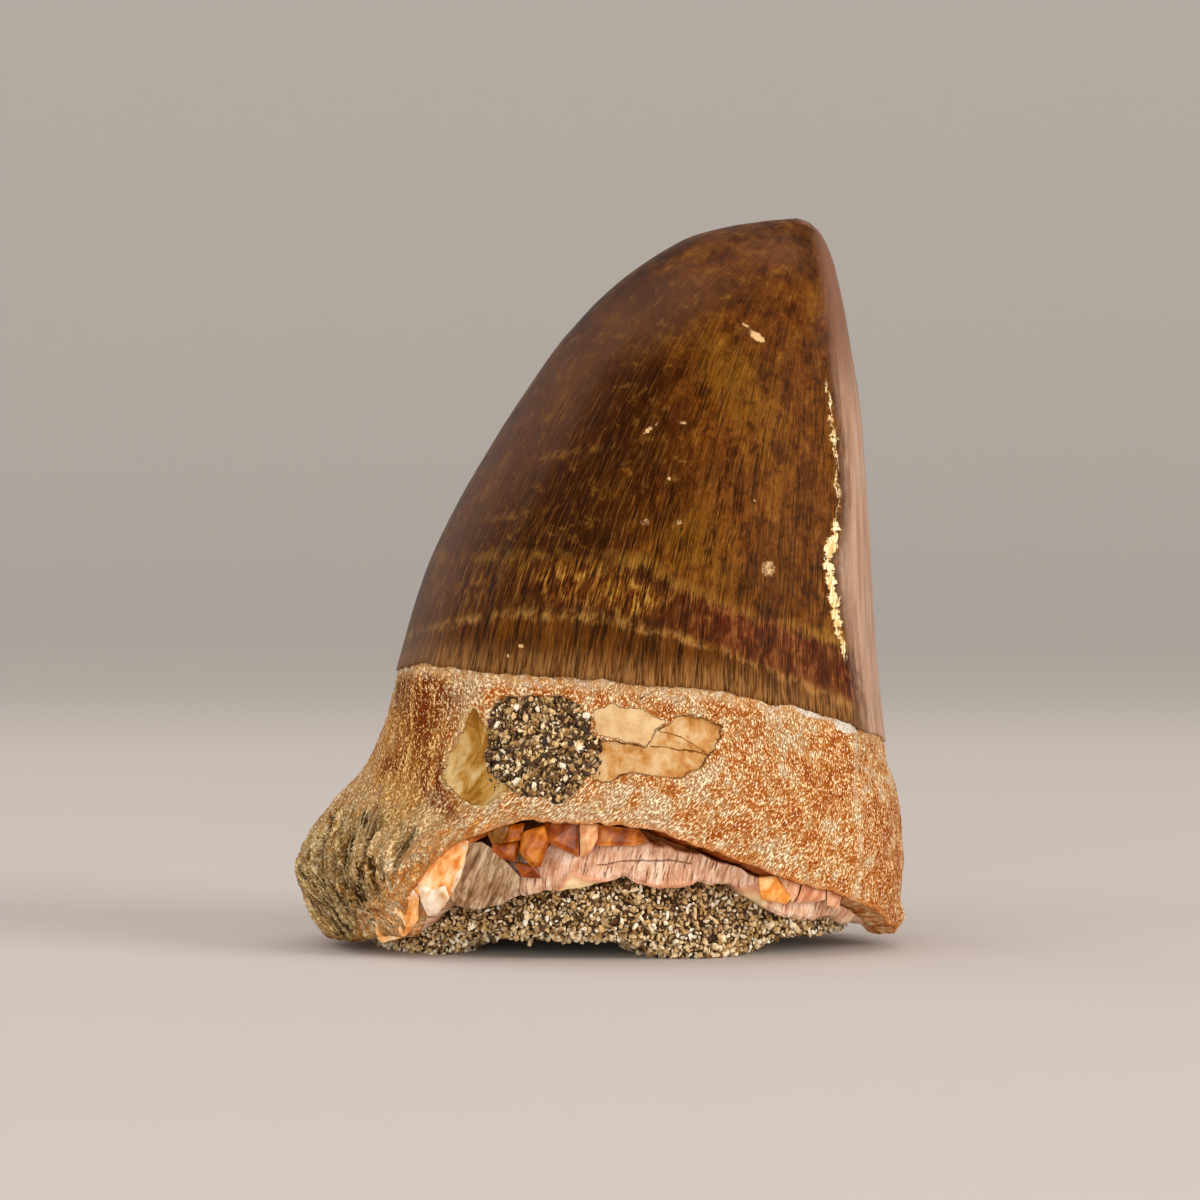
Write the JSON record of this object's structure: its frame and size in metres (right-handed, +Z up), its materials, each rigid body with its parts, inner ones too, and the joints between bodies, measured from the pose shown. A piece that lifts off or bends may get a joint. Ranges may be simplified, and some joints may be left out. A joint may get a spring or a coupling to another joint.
{
  "type": "prognathodon mosasaur tooth fossil",
  "caption": "Broad, slightly curved fossil tooth with a glossy brown crown and a pale flared root, standing upright on its broken, sand-filled end.",
  "frame": {"origin": "on the surface it stands on, below the middle of the object's box", "axes": "+Z up from the broken root to the tip, +X to the side that the tip leans to, -Y out of the side with the pit and the ledge"},
  "size_m": [0.0446, 0.0327, 0.0531],
  "materials": {
    "tooth": "glossy brown enamel over orange and cream fossil bone and dentine",
    "sand": "coarse cemented sand with dark and cream grains"
  },
  "bodies": {
    "root": {"tooth": "tooth", "sand_filling": "sand", "sand_plug": "sand"}
  },
  "joints": []
}
